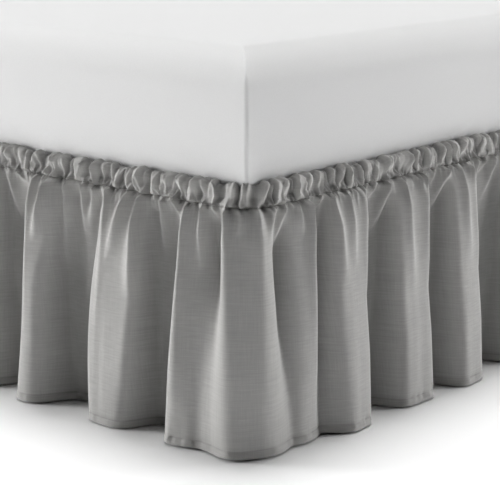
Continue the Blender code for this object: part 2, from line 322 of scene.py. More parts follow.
# Studio
CAMERA_PLACE = Vector((2.3635, -2.8233, 0.8805))
CAMERA_TURN = math.radians(41.45)
CAMERA_TILT = math.radians(13.006)
TO_CAMERA = Vector((math.sin(CAMERA_TURN), -math.cos(CAMERA_TURN), 0.0))
TO_LEFT = Vector((-math.cos(CAMERA_TURN), -math.sin(CAMERA_TURN), 0.0))
CORNER = Vector((SEAM_X, -SEAM_Y, 0.3))
LEFT_LIGHT_TURN = math.radians(-102)
RIGHT_LIGHT_TURN = math.radians(107)
SIDE_LIGHT_DISTANCE = 7.0
SIDE_LIGHT_HEIGHT = 1.3
SIDE_LIGHT_SIZE = 1.8
TOP_LIGHT_PLACE = Vector((-0.08, -0.06, 4.0))
TOP_LIGHT_AIM = Vector((0.68, -0.94, 0.0))
TOP_LIGHT_SIZE = 5.0
TOP_LIGHT_SPREAD = math.radians(40)
FLOOR_REACH = 12.0
GLOW_START = 2.1
GLOW_FULL = 3.6


def smooth(share):
    """Soft step from 0 to 1."""
    share = np.clip(share, 0.0, 1.0)
    return share * share * (3 - 2 * share)


def from_table(share, table):
    """Value at a share, from a table of shares and values."""
    return float(np.interp(share, *zip(*table)))


def hump(distance, width):
    """Bell curve of a distance."""
    return math.exp(-((distance / width) ** 2))


def offset_from(along, place):
    """Distance along the seam line from a place, the short way round the bed."""
    return (along - place + SEAM_LENGTH / 2) % SEAM_LENGTH - SEAM_LENGTH / 2


def seam_line(along):
    """Points of the seam line and their outward directions, at distances from the first corner's middle."""
    along = np.asarray(along, dtype=float)
    left = (along + CORNER_ARC / 2) % SEAM_LENGTH
    points = np.zeros((*along.shape, 2))
    outward = np.zeros((*along.shape, 2))
    start = 0.0
    for side in range(4):
        run = 2 * ((SEAM_Y if side % 2 == 0 else SEAM_X) - SEAM_CORNER)
        end = start + CORNER_ARC + run
        here = (left >= start) & (left <= end + 1e-9)
        gone = left - start
        angle = side * math.pi / 2 - math.pi / 2 + np.minimum(gone, CORNER_ARC) / SEAM_CORNER
        straight = np.maximum(gone - CORNER_ARC, 0.0)
        centre = np.array((
            (SEAM_X - SEAM_CORNER) * (1 if side < 2 else -1),
            (SEAM_Y - SEAM_CORNER) * (1 if side in (1, 2) else -1),
        ))
        direction = np.stack((np.cos(angle), np.sin(angle)), axis=-1)
        forward = np.stack((-np.sin(angle), np.cos(angle)), axis=-1)
        place = centre + SEAM_CORNER * direction + straight[..., None] * forward
        points[here] = place[here]
        outward[here] = direction[here]
        start = end
    return points, outward


def cloth_point(along, reach, height):
    """Points outside the seam line by reach."""
    points, outward = seam_line(along)
    flat = points + outward * np.asarray(reach)[..., None]
    return np.concatenate((flat, np.broadcast_to(height, np.shape(along))[..., None]), axis=-1)


def wandering(along, pitch, seed):
    """A smooth random wave round the bed, from -1 to 1, that turns about once in each pitch."""
    count = max(3, round(SEAM_LENGTH / pitch))
    knots = np.random.default_rng(seed).uniform(-1, 1, count)
    place = (np.asarray(along) % SEAM_LENGTH) / SEAM_LENGTH * count
    index = np.floor(place).astype(int)
    share = smooth(place - index)
    return knots[index % count] * (1 - share) + knots[(index + 1) % count] * share


def drifting(along, drop, pitch, seed, slant=0.03):
    """Like wandering, and changing slowly from the seam to the hem."""
    shift = slant * wandering(along, 0.5, seed + 7) * drop
    upper = wandering(along + shift, pitch, seed)
    lower = wandering(along + shift, pitch, seed + 1)
    return upper * (1 - smooth(drop)) + lower * smooth(drop)


def lay_out_flutes():
    """All flutes round the bed: the corner's own, then seeded ones back to where those start."""
    draw = random.Random(FLUTE_SEED)
    first = CORNER_FLUTES[0][0][0] + SEAM_LENGTH
    last = CORNER_FLUTES[-1][1][0]
    count = round((first - last) / FLUTE_PITCH)
    step = (first - last) / count
    flutes = list(CORNER_FLUTES)
    for index in range(1, count):
        middle = last + step * (index + draw.uniform(-FLUTE_SPREAD, FLUTE_SPREAD))
        half, tilt = draw.uniform(*FLUTE_TOP) / 2, draw.uniform(-FLUTE_TILT, FLUTE_TILT)
        left = (middle - half, draw.uniform(*FLUTE_LEAN), 0.0)
        right = (middle + half, draw.uniform(*FLUTE_LEAN), 0.0)
        reach = draw.uniform(*FLUTE_REACH)
        sides = draw.uniform(*FLUTE_SIDE), draw.uniform(*FLUTE_SIDE)
        flutes.append((left, right, reach - tilt, reach + tilt, *sides))
        if draw.random() < LOW_FLUTE_SHARE:
            low = (middle + step / 2, 0.0, 0.0)
            reach = draw.uniform(*LOW_FLUTE_REACH)
            flutes.append((low, low, reach, reach, draw.uniform(*FLUTE_SIDE), draw.uniform(*FLUTE_SIDE)))
    return flutes


def lay_out_gathers(flutes):
    """All gathers round the bed, as rows of place at the seam, place at the end, end of drop and reach."""
    draw = random.Random(GATHER_SEED)
    crests = [
        (shoulder_place(left, 0.0) + shoulder_place(right, 0.0)) / 2
        for left, right, reach, _, _, _ in flutes if reach > LOW_FLUTE_REACH[1]
    ]
    first = CORNER_GATHERS[0][0] + SEAM_LENGTH
    last = CORNER_GATHERS[-1][0]
    count = round((first - last) / GATHER_PITCH)
    step = (first - last) / count
    gathers = list(CORNER_GATHERS)
    for index in range(1, count):
        along = last + step * (index + draw.uniform(-GATHER_SPREAD, GATHER_SPREAD))
        offset = min((offset_from(along, crest) for crest in crests), key=abs)
        rank = min(int(abs(offset) / GATHER_PITCH + 0.5), len(GATHER_ENDS) - 1)
        end_drop = GATHER_ENDS[rank] * draw.uniform(1 - GATHER_END_SPREAD, 1 + GATHER_END_SPREAD)
        drawn = offset * draw.uniform(*GATHER_DRAW) if abs(offset) < GATHER_RANGE else 0.0
        gathers.append((along, along - drawn, end_drop, draw.uniform(*GATHER_REACH)))
    return gathers


def shoulder_place(shoulder, drop):
    """Place of a flute's shoulder along the seam line at a share of the drop."""
    hem, lean, bow = shoulder
    return hem + lean * (1 - drop) + 4 * bow * drop * (1 - drop)


def fluted_reach(along, drop, flutes):
    """Reach of the flutes: flat-topped, with steep flanks that meet the valleys between them in a fillet."""
    floor = from_table(drop, VALLEY_FLOOR)
    grown, width = from_table(drop, DEEPENING), from_table(drop, FLUTE_WIDTH)
    fillet = VALLEY_FILLET * smooth(drop / FILLET_GROWN) + MILLIMETRE
    total = np.full_like(along, floor)
    for left, right, left_reach, right_reach, left_side, right_side in flutes:
        low, high = shoulder_place(left, drop), shoulder_place(right, drop)
        half = max((high - low) / 2, MILLIMETRE)
        offset = offset_from(along, (low + high) / 2)
        near = np.abs(offset) < FLUTE_EXTENT
        if not near.any():
            continue
        offset = offset[near]
        share = np.maximum(np.abs(offset) - half, 0) / np.where(offset < 0, left_side, right_side) / width
        inside = np.minimum(share, 1.0)
        dome = (1 - inside ** FLANK_POWERS[0]) ** FLANK_POWERS[1] - FLANK_FALL * (share - inside)
        reach = left_reach + (right_reach - left_reach) * np.clip(0.5 + offset / (2 * half), 0, 1)
        height = floor + (reach * grown - floor) * dome
        under = total[near]
        overlap = np.maximum(fillet - np.abs(height - under), 0)
        total[near] = np.maximum(height, under) + overlap * overlap / (4 * fillet)
    return total


def soft_fluted_reach(along, drop, flutes):
    """The flutes with their edges rounded by averaging over nearby places."""
    width = from_table(drop, FLUTE_SOFTENING)
    weights = np.exp(-SOFTENING_STEPS * SOFTENING_STEPS / 2)
    weights /= weights.sum()
    shifted = (fluted_reach(along + step * width, drop, flutes) for step in SOFTENING_STEPS)
    return sum(weight * reach for weight, reach in zip(weights, shifted))


def ridge_reach(along, drop, gathers):
    """Reach of the ridges that start at the gathers. Where two meet, the higher one wins softly."""
    total = np.zeros_like(along)
    grown = from_table(drop, RIDGE_GROWTH)
    rounding, width = from_table(drop, RIDGE_ROUND), from_table(drop, RIDGE_WIDTH)
    for start, end, end_drop, height in gathers:
        if drop >= end_drop:
            continue
        gone = drop / end_drop
        offset = offset_from(along, start + (end - start) * gone**RIDGE_VEER)
        near = np.abs(offset) < RIDGE_EXTENT * width
        if near.any():
            sharp = np.sqrt(offset[near] ** 2 + rounding * rounding) - rounding
            skew = math.copysign(RIDGE_SKEW, offset_from(start, 0.0))
            spread = width * (1 - skew * np.tanh(offset[near] / rounding))
            swell = height * (1 - gone * gone) * grown
            total[near] += (swell * np.exp(-sharp / spread)) ** RIDGE_BLEND
    return total ** (1 / RIDGE_BLEND)


def gathered_reach(along, drop, flutes, gathers):
    """Reach of the flutes and ridges together, and of the cloth that bunches up under the seam."""
    reach = soft_fluted_reach(along, drop, flutes) + ridge_reach(along, drop, gathers)
    return reach + SEAM_SWELL * float(1 - smooth(drop / SEAM_SWELL_END))


def lay_out_pleats():
    """Small pleats round the bed, as rows of place, length and reach."""
    draw = random.Random(GATHER_SEED + 1)
    count = round(SEAM_LENGTH / PLEAT_PITCH)
    step = SEAM_LENGTH / count
    pleats = []
    for index in range(count):
        place = step * (index + draw.uniform(-PLEAT_UNEVEN, PLEAT_UNEVEN))
        pleats.append((place, draw.uniform(*PLEAT_LENGTH), draw.uniform(*PLEAT_REACH)))
    return pleats


def pleat_reach(along, down, pleats):
    """Reach of the small pleats at a distance below the stitching."""
    total = np.full_like(along, -SEAM_DRAW_IN * math.exp(-down / SEAM_DRAW_FADE))
    for place, length, height in pleats:
        if down > 2 * length:
            continue
        offset = np.abs(offset_from(along, place))
        near = offset < PLEAT_EXTENT
        if near.any():
            width = PLEAT_WIDTH + PLEAT_SPREAD * down
            fade = hump(down, length) * smooth(PLEAT_START + down / PLEAT_GROWTH)
            total[near] += height * fade * np.exp(-offset[near] / width)
    return total


def stitch_puckers(along, away):
    """Puckers of the stitching, from -1 to 1, at a distance above the seam or, if negative, below it."""
    return wandering(along + STITCH_LEAN * away, STITCH_PITCH, STITCH_SEED) * hump(away, STITCH_FADE)


def ruffle_rows():
    """Rows from the inside of the hem, round its edge and up to the seam: height over the edge and inset."""
    inside = [(HEM_DEPTH - MILLIMETRE, HEM_THICKNESS), (0.0015, HEM_THICKNESS), (0.0, HEM_THICKNESS / 2)]
    even = [FIRST_EVEN_ROW + EVEN_ROW_STEP * step for step in range(EVEN_ROWS)]
    upper = [FULL_DROP - down for down in reversed([*SEAM_ROWS, *even])]
    return inside + [(over, 0.0) for over in [*HEM_ROWS, *upper]]


def panel_line(panel, columns):
    """Places along the seam line from one side seam of a panel of cloth to the other."""
    return (panel - 0.5 + np.arange(columns + 1) / columns) * SEAM_LENGTH / PANELS


def flat_grid(columns, rows):
    """A flat grid with UVs in shares, and the column and row of each of its points."""
    bm = bmesh.new()
    bm.loops.layers.uv.new("cloth")
    bmesh.ops.create_grid(bm, x_segments=columns, y_segments=rows, size=1.0, calc_uvs=True)
    flat = np.array([vert.co for vert in bm.verts])
    column = np.rint((flat[:, 0] + 1) / 2 * columns).astype(int)
    row = np.rint((flat[:, 1] + 1) / 2 * rows).astype(int)
    return bm, column, row


def cloth_grid(points, painted_shading):
    """A grid through rows of points, with the painted shade and light of its colour as an attribute."""
    bm, column, row = flat_grid(points.shape[1] - 1, points.shape[0] - 1)
    layer = bm.verts.layers.float.new("painted_shading")
    for vert, point, shading_value in zip(bm.verts, points[row, column], painted_shading[row, column]):
        vert.co = point
        vert[layer] = shading_value
    return bm


def wrapped_grid(columns, rows, place):
    """A grid wrapped round the bed and welded. place(column, row) gives the points of whole arrays."""
    bm, column, row = flat_grid(columns, rows)
    for vert, point in zip(bm.verts, place(column % columns, row)):
        vert.co = point
    bmesh.ops.remove_doubles(bm, verts=bm.verts, dist=1e-6)
    return bm


def add_piece(name, bm, material, smooth_angle=math.radians(60)):
    """Makes the bmesh an object that rides on the bed and wears a material."""
    mesh = bpy.data.meshes.new(name)
    bm.to_mesh(mesh)
    bm.free()
    mesh.materials.append(material)
    mesh.shade_smooth()
    mesh.set_sharp_from_angle(angle=smooth_angle)
    piece = bpy.data.objects.new(name, mesh)
    bpy.context.scene.collection.objects.link(piece)
    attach(piece, BODY)
    return piece


def scale_cloth_uv(mesh, panel, lengths):
    """Turns the grid's UVs from shares into metres of cloth: along the seam, and down the rows."""
    layer = mesh.uv_layers["cloth"]
    flat = np.empty(len(layer.data) * 2)
    layer.data.foreach_get("uv", flat)
    flat = flat.reshape(-1, 2)
    flat[:, 0] = (flat[:, 0] + panel) * SEAM_LENGTH * CLOTH_FULLNESS / PANELS
    flat[:, 1] = np.interp(flat[:, 1], np.linspace(0, 1, len(lengths)), lengths)
    layer.data.foreach_set("uv", flat.ravel())


# Materials

CLOTH_NAME = "linen-look cotton"


def linear(hex_colour):
    """Linear RGBA of a colour written as an sRGB hex value."""
    channels = [int(hex_colour[i:i + 2], 16) / 255 for i in (1, 3, 5)]
    return (*(c / 12.92 if c <= 0.04045 else ((c + 0.055) / 1.055) ** 2.4 for c in channels), 1.0)


def add_node(tree, kind, inputs=None, **settings):
    """Adds a node with its settings, and sets or links its inputs."""
    node = tree.nodes.new(kind)
    for name, value in settings.items():
        setattr(node, name, value)
    for key, value in (inputs or {}).items():
        if isinstance(value, bpy.types.NodeSocket):
            tree.links.new(value, node.inputs[key])
        else:
            node.inputs[key].default_value = value
    return node


def new_material(name):
    """A material with an empty tree and its shader and output."""
    material = bpy.data.materials.new(name)
    material.use_nodes = True
    tree = material.node_tree
    tree.nodes.clear()
    shader = add_node(tree, "ShaderNodeBsdfPrincipled")
    add_node(tree, "ShaderNodeOutputMaterial", {"Surface": shader.outputs["BSDF"]})
    return material, tree, shader


def weighted_sum(tree, *parts):
    """Adds up values, each times its weight."""
    total = 0.0
    for value, weight in parts:
        total = add_node(
            tree, "ShaderNodeMath", {0: value, 1: weight, 2: total}, operation="MULTIPLY_ADD"
        ).outputs[0]
    return total


def streaks(tree, vector, scale, detail=3.0, roughness=0.55):
    """Noise stretched by a scale for each axis, in turns per metre: 420 draws streaks 2.4 mm wide."""
    mapping = add_node(tree, "ShaderNodeMapping", {"Vector": vector, "Scale": scale})
    noise = add_node(
        tree, "ShaderNodeTexNoise",
        {"Vector": mapping.outputs[0], "Scale": 1.0, "Detail": detail, "Roughness": roughness},
    )
    return noise.outputs["Fac"]


def plain_weave(tree, vector, pitch):
    """Height of a plain weave of threads at a pitch, on the first two axes."""
    axes = add_node(tree, "ShaderNodeSeparateXYZ", {0: vector})
    waves = []
    for axis in (0, 1):
        turns = weighted_sum(tree, (axes.outputs[axis], math.pi / pitch))
        waves.append(add_node(tree, "ShaderNodeMath", {0: turns}, operation="SINE").outputs[0])
    return weighted_sum(tree, tuple(waves))


def vary(tree, colour, value, low, high, darkest, lightest):
    """A colour made darker and lighter as a value goes from low to high."""
    shade = add_node(
        tree, "ShaderNodeMapRange",
        {"Value": value, "From Min": low, "From Max": high, "To Min": darkest, "To Max": lightest},
    ).outputs[0]
    return add_node(tree, "ShaderNodeVectorMath", {0: colour, "Scale": shade}, operation="SCALE").outputs[0]


def finish_surface(tree, shader, colour, height, strength, distance, values):
    """Links a colour and a bump to a shader and sets its other values."""
    bump = add_node(tree, "ShaderNodeBump", {"Height": height, "Strength": strength, "Distance": distance})
    tree.links.new(colour, shader.inputs["Base Color"])
    tree.links.new(bump.outputs[0], shader.inputs["Normal"])
    for name, value in values.items():
        shader.inputs[name].default_value = value


def make_linen_look_cotton(colour):
    """Plain-woven cotton of uneven yarn, which gives fine streaks both ways, slubs across and a dull nap."""
    material, tree, shader = new_material(CLOTH_NAME)
    cloth = add_node(tree, "ShaderNodeUVMap", uv_map="cloth").outputs[0]
    # Thick stretches of yarn are about 40 mm long. Their real width of under 1 mm wouldn't show, so they are
    # drawn 1.1 to 2.4 mm wide.
    across = streaks(tree, cloth, (24.0, 420.0, 1.0))
    down = streaks(tree, cloth, (700.0, 22.0, 1.0))
    patches = streaks(tree, cloth, (18.0, 18.0, 1.0), detail=2.0)
    slubs = streaks(tree, cloth, (34.0, 900.0, 1.0), detail=1.0)
    slub = add_node(
        tree, "ShaderNodeMapRange", {"Value": slubs, "From Min": 0.60, "From Max": 0.74}
    ).outputs[0]
    tone = weighted_sum(tree, (across, 0.55), (down, 0.40), (patches, 0.25))
    shade = add_node(
        tree, "ShaderNodeMapRange",
        {"Value": tone, "From Min": 0.45, "From Max": 0.75, "To Min": 0.90, "To Max": 1.10},
    ).outputs[0]
    shade = weighted_sum(tree, (shade, 1.0), (slub, 0.09))
    woven = add_node(
        tree, "ShaderNodeVectorMath", {0: colour[:3], "Scale": shade}, operation="SCALE"
    ).outputs[0]
    # Painted shade and light: the colour is darkened in valleys and creases, where little light gets in, down
    # to about half, and lightened on crests by up to 23 %, as the cloth's shading attribute says
    shading_value = add_node(tree, "ShaderNodeAttribute", attribute_name="painted_shading").outputs["Fac"]
    shaded = vary(tree, woven, shading_value, -0.5, 1.5, 0.49, 1.23)
    # Real thread spacing of 0.7 mm
    weave = plain_weave(tree, cloth, 0.0007)
    height = weighted_sum(tree, (weave, 0.25), (across, 1.0), (down, 0.6), (slub, 0.5))
    finish_surface(tree, shader, shaded, height, 0.22, 0.0004, {
        "Roughness": 0.88, "Specular IOR Level": 0.25, "Sheen Weight": 0.15, "Sheen Roughness": 0.45,
    })
    return material


def make_percale_cotton(colour):
    """Finely woven cotton drawn over a mattress: smooth, with faint wrinkles, and light shines into it."""
    material, tree, shader = new_material("percale cotton")
    place = add_node(tree, "ShaderNodeTexCoord").outputs["Object"]
    # Wrinkles are 110 to 250 mm apart. Threads of 0.1 mm wouldn't show, so they are drawn 2.4 mm wide.
    wrinkles = streaks(tree, place, (5.0, 4.0, 9.0), detail=2.0)
    fine = streaks(tree, place, (420.0, 420.0, 420.0), detail=1.0)
    tinted = vary(tree, colour[:3], fine, 0.3, 0.7, 0.985, 1.01)
    height = weighted_sum(tree, (wrinkles, 6.0), (fine, 0.12))
    finish_surface(tree, shader, tinted, height, 0.25, MILLIMETRE, {
        "Subsurface Weight": 1.0, "Subsurface Radius": (1.0, 1.0, 1.0), "Subsurface Scale": 0.03,
        "Roughness": 0.8, "Specular IOR Level": 0.2, "Sheen Weight": 0.1,
    })
    return material


def make_woven_polyester(colour):
    """Coarse woven cover of a bed base: matt, with threads that show and slightly uneven dye."""
    material, tree, shader = new_material("woven polyester")
    place = add_node(tree, "ShaderNodeTexCoord").outputs["Object"]
    # Threads are 1.1 mm wide, and patches of dye 170 mm
    threads = streaks(tree, place, (900.0, 900.0, 900.0), detail=2.0)
    patches = streaks(tree, place, (6.0, 6.0, 6.0), detail=3.0)
    tone = weighted_sum(tree, (threads, 0.6), (patches, 0.4))
    tinted = vary(tree, colour[:3], tone, 0.3, 0.7, 0.88, 1.08)
    finish_surface(tree, shader, tinted, threads, 0.4, 0.0008, {"Roughness": 0.9})
    return material


def make_stained_beech(colour):
    """Turned beech, stained dark and waxed: upright grain, which also varies its gloss."""
    material, tree, shader = new_material("stained beech")
    place = add_node(tree, "ShaderNodeTexCoord").outputs["Object"]
    # Flecks of 1 to 2 mm wouldn't show, so the grain is drawn 3.8 mm wide. It is 110 mm long.
    grain = streaks(tree, place, (260.0, 260.0, 9.0), detail=4.0)
    gloss = add_node(
        tree, "ShaderNodeMapRange",
        {"Value": grain, "From Min": 0.3, "From Max": 0.7, "To Min": 0.34, "To Max": 0.5},
    ).outputs[0]
    tree.links.new(gloss, shader.inputs["Roughness"])
    tinted = vary(tree, colour[:3], grain, 0.3, 0.7, 0.6, 1.35)
    finish_surface(tree, shader, tinted, grain, 0.3, 0.0004, {})
    return material


def make_white_paint(colour, glow):
    """Matt white paint of a studio floor, which glows a little far out, where the lights don't reach."""
    material, tree, shader = new_material("white paint")
    place = add_node(tree, "ShaderNodeTexCoord").outputs["Object"]
    away = add_node(tree, "ShaderNodeVectorMath", {0: place}, operation="LENGTH").outputs["Value"]
    strength = add_node(
        tree, "ShaderNodeMapRange",
        {"Value": away, "From Min": GLOW_START, "From Max": GLOW_FULL, "To Min": 0.0, "To Max": glow},
    ).outputs[0]
    tree.links.new(strength, shader.inputs["Emission Strength"])
    shader.inputs["Emission Color"].default_value = colour
    shader.inputs["Base Color"].default_value = colour
    shader.inputs["Roughness"].default_value = 0.9
    shader.inputs["Specular IOR Level"].default_value = 0.1
    return material


def skirt_cloth(colour):
    """The skirt's cloth, made once for all its panels."""
    return bpy.data.materials.get(CLOTH_NAME) or make_linen_look_cotton(colour)


# Pieces


def make_cloth_panels(name, points_of, columns, lengths, colour, node, smooth_angle):
    """A band of cloth round the bed, as panels joined at their side seams."""
    panels = []
    for panel in range(PANELS):
        bm = cloth_grid(*points_of(panel_line(panel, columns)))
        piece = add_piece(f"{name}_{panel + 1}", bm, skirt_cloth(colour), smooth_angle)
        scale_cloth_uv(piece.data, panel, lengths)
        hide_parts(node)
        panels.append(piece)
    return panels


def make_ruffle(settings):
    """Lengths of cloth, gathered at the seam, with their hem turned up inside."""
    flutes = lay_out_flutes()
    gathers = lay_out_gathers(flutes)
    pleats = lay_out_pleats()
    rows = ruffle_rows()

    def points_of(along):
        edge = HEM_EDGE + HEM_UNEVEN * sum(wandering(along, pitch, seed) for pitch, seed in HEM_WAVES) / 2
        pucker = wandering(along, HEM_PUCKER_PITCH, HEM_PUCKER_SEED)
        points, painted_shading = [], []
        for over, inset in rows:
            down = FULL_DROP - over
            drop = down / FULL_DROP
            reach = gathered_reach(along, drop, flutes, gathers)
            hollow = 1 - np.clip(reach / (UNSHADED_REACH * from_table(drop, DEEPENING) + UNSHADED_LEAST), 0, 1)
            pleat = pleat_reach(along, down, pleats)
            pinch = 1 - np.clip(pleat / PLEAT_REACH[0] + 1, 0, 1)
            puckers = stitch_puckers(along, -down)
            # Painted shade and light for the cloth's colour: darker in the hollows between flutes, in the
            # pinches under the stitching and in the hem's groove, and lighter and darker along the stitch
            # puckers
            tone = 1 - hollow * float(smooth(drop / HOLLOW_GROWN)) - pinch * math.exp(-down / PINCH_FADE)
            tone += STITCH_SHADING * np.minimum(puckers, STITCH_LIT)
            tone -= (HEM_GROOVE_SHADE - HEM_GROOVE_SHADE_VARIES * pucker) * hump(over - HEM_DEPTH, HEM_GROOVE_SHADE_WIDTH)
            painted_shading.append(tone)
            reach += pleat + STITCH_REACH * puckers
            for crease, pitch, seed, grown in CREASES:
                reach += crease * drifting(along, drop, pitch, seed) * smooth(drop / grown)
            reach -= HEM_GROOVE * hump(over - HEM_DEPTH, HEM_GROOVE_WIDTH)
            reach += HEM_PUCKER * pucker * hump(over - HEM_PUCKER_PLACE, HEM_PUCKER_FADE)
            height = edge + over * (SEAM_HEIGHT - edge) / FULL_DROP + STITCH_JAG * puckers
            points.append(cloth_point(along, reach - inset, height))
        return np.stack(points), np.stack(painted_shading)

    lengths = [-over if inset else over for over, inset in rows]
    return make_cloth_panels(
        "ruffle_panel", points_of, settings.ruffle_columns, lengths, tuple(settings.colour), "skirt",
        math.radians(75),
    )


def lay_out_puffs(pitch, reaches, sides, turn, roundness, seed):
    """Folds of the heading, as rows of foot, lean, bend, reach, two spreads, roundness, start and end."""
    draw = random.Random(seed)
    count = round(SEAM_LENGTH / pitch)
    step = SEAM_LENGTH / count
    folds = []
    for index in range(count):
        foot = step * (index + draw.uniform(-PUFF_SPREAD, PUFF_SPREAD))
        lean, bend = draw.uniform(-turn, turn) * step, draw.uniform(-PUFF_BEND, PUFF_BEND) * step
        steep, gentle = (draw.uniform(*side) * step for side in sides)
        steep_left = draw.random() < STEEP_LEFT_SHARES[0 if offset_from(foot, 0.0) < 0 else 1]
        spread = (steep, gentle) if steep_left else (gentle, steep)
        span = draw.choice(PUFF_SPANS)
        folds.append((foot, lean, bend, draw.uniform(*reaches), *spread, draw.choice(roundness), *span))
    return folds


def puffed_reach(along, rise, folds):
    """Reach of the heading's folds at a share of its rise, and how far each leans over its steep side."""
    total = np.zeros_like(along)
    highest = np.zeros_like(along)
    over = np.zeros_like(along)
    for foot, lean, bend, reach, left, right, rounding, start, end in folds:
        if not start < rise < end:
            continue
        offset = offset_from(along, foot + lean * (rise - PUFF_PIVOT) + bend * 4 * rise * (1 - rise))
        near = np.abs(offset) < max(left, right)
        if not near.any():
            continue
        share = np.abs(offset[near]) / np.where(offset[near] < 0, left, right)
        tent = np.clip(1 + rounding - np.sqrt(share * share + rounding * rounding), 0, 1)
        middle, half = (start + end) / 2, (end - start) / 2
        tent *= reach * (1 - ((rise - middle) / half) ** 2)
        total[near] += tent**3
        wins = tent > highest[near]
        over[near] = np.where(wins, tent * math.copysign(PUFF_OVERHANG, left - right), over[near])
        highest[near] = np.where(wins, tent, highest[near])
    return np.cbrt(total), over


def heading_rows():
    """Rows up the front of the heading, over its top and down behind: which part, and share of the rise."""
    front = [("front", rise) for rise in HEADING_ROWS]
    return front + [("top", 0.0), ("top", 1.0), ("back", 0.9), ("back", 0.45), ("back", 0.02)]


def make_heading(settings):
    """The shirred casing: folds pinched by the stitching and rolled over at the top."""
    puffs, crumples = lay_out_puffs(*PUFFS), lay_out_puffs(*CRUMPLES)
    flutes = lay_out_flutes()
    gathers = lay_out_gathers(flutes)
    pleats = lay_out_pleats()
    rows = heading_rows()

    def folded_reach(along, rise):
        folded, over = puffed_reach(along, rise, puffs)
        crumpled, _ = puffed_reach(along, rise, crumples)
        return folded + crumpled, over

    def points_of(along):
        bottom = SEAM_HEIGHT + SEAM_GAP + STITCH_JAG * stitch_puckers(along, 0.0)
        crown, _ = folded_reach(along, 1.0)
        foot = gathered_reach(along, 0.0, flutes, gathers)
        top = bottom + HEADING_HEIGHT - RIM_DIP
        top += RIM_SCALLOP * np.clip(crown / PUFF_RELIEF, 0, RIM_SCALLOP_MOST)
        top += sum(height * wandering(along, pitch, seed) for height, pitch, seed in RIM_WAVES)
        points, painted_shading = [], []
        for part, rise in rows:
            height = bottom + (top - bottom) * rise
            if part == "front":
                up = HEADING_HEIGHT * rise
                folded, over = folded_reach(along, rise)
                belly = from_table(rise, HEADING_BELLY)
                pleat = pleat_reach(along, up, pleats)
                puckers = stitch_puckers(along, up)
                reach = belly * (HEADING_SWELL + folded) + pleat + STITCH_REACH * puckers
                reach += foot * float(1 - smooth(rise / HEADING_FOOT_FADE))
                pinch = HEADING_PINCH - np.clip(pleat / PLEAT_REACH[0] + 1, 0, 1)
                # Painted shade and light: darker in the creases between folds and in the pinches at the
                # stitching, lighter on the folds, and lighter and darker along the stitch puckers
                tone = PUFF_SHADING_MOST * np.minimum(folded / PUFF_RELIEF, 1)
                tone += STITCH_SHADING * np.minimum(puckers, STITCH_LIT)
                painted_shading.append(tone - pinch * math.exp(-up / HEADING_PINCH_FADE))
                points.append(cloth_point(along + over * belly, reach, height))
            elif part == "top":
                reach = RIM_FOLD_SHARE * crown - RIM_SET_BACK - RIM_DEPTH * rise
                # Painted shade on the top edge where no fold lifts it
                painted_shading.append(np.clip(crown / PUFF_RELIEF, 0, 1))
                points.append(cloth_point(along, reach, top - RIM_FALL * rise))
            else:
                # Painted shade over the back of the casing
                painted_shading.append(np.zeros_like(along))
                points.append(cloth_point(along, np.full_like(along, HEADING_GRIP - SEAM_CLEARANCE), height))
        return np.stack(points), np.stack(painted_shading)

    lengths = [HEADING_HEIGHT * CASING_PATTERN * row / (len(rows) - 1) for row in range(len(rows))]
    return make_cloth_panels(
        "shirred_heading", points_of, settings.heading_columns, lengths, tuple(settings.colour), "heading",
        math.radians(80),
    )


def outline_stations():
    """Places round a block's plan: which corner, share of its arc and share of the straight after it."""
    stations = []
    for side in range(4):
        stations += [(side, step / CORNER_POINTS, 0.0) for step in range(CORNER_POINTS)]
        runs = LONG_POINTS if side % 2 == 0 else SHORT_POINTS
        stations += [(side, 1.0, step / runs) for step in range(runs)]
    return stations


def outline_point(station, half_x, half_y, corner, push=0.0):
    """Point of a rectangle with round corners, at a station."""
    side, arc, run = station
    centre_x = (half_x - corner) * (1 if side < 2 else -1)
    centre_y = (half_y - corner) * (1 if side in (1, 2) else -1)
    angle = (side - 1 + arc) * math.pi / 2
    straight = run * 2 * ((half_y if side % 2 == 0 else half_x) - corner)
    x = centre_x + (corner + push) * math.cos(angle) - straight * math.sin(angle)
    y = centre_y + (corner + push) * math.sin(angle) + straight * math.cos(angle)
    return x, y


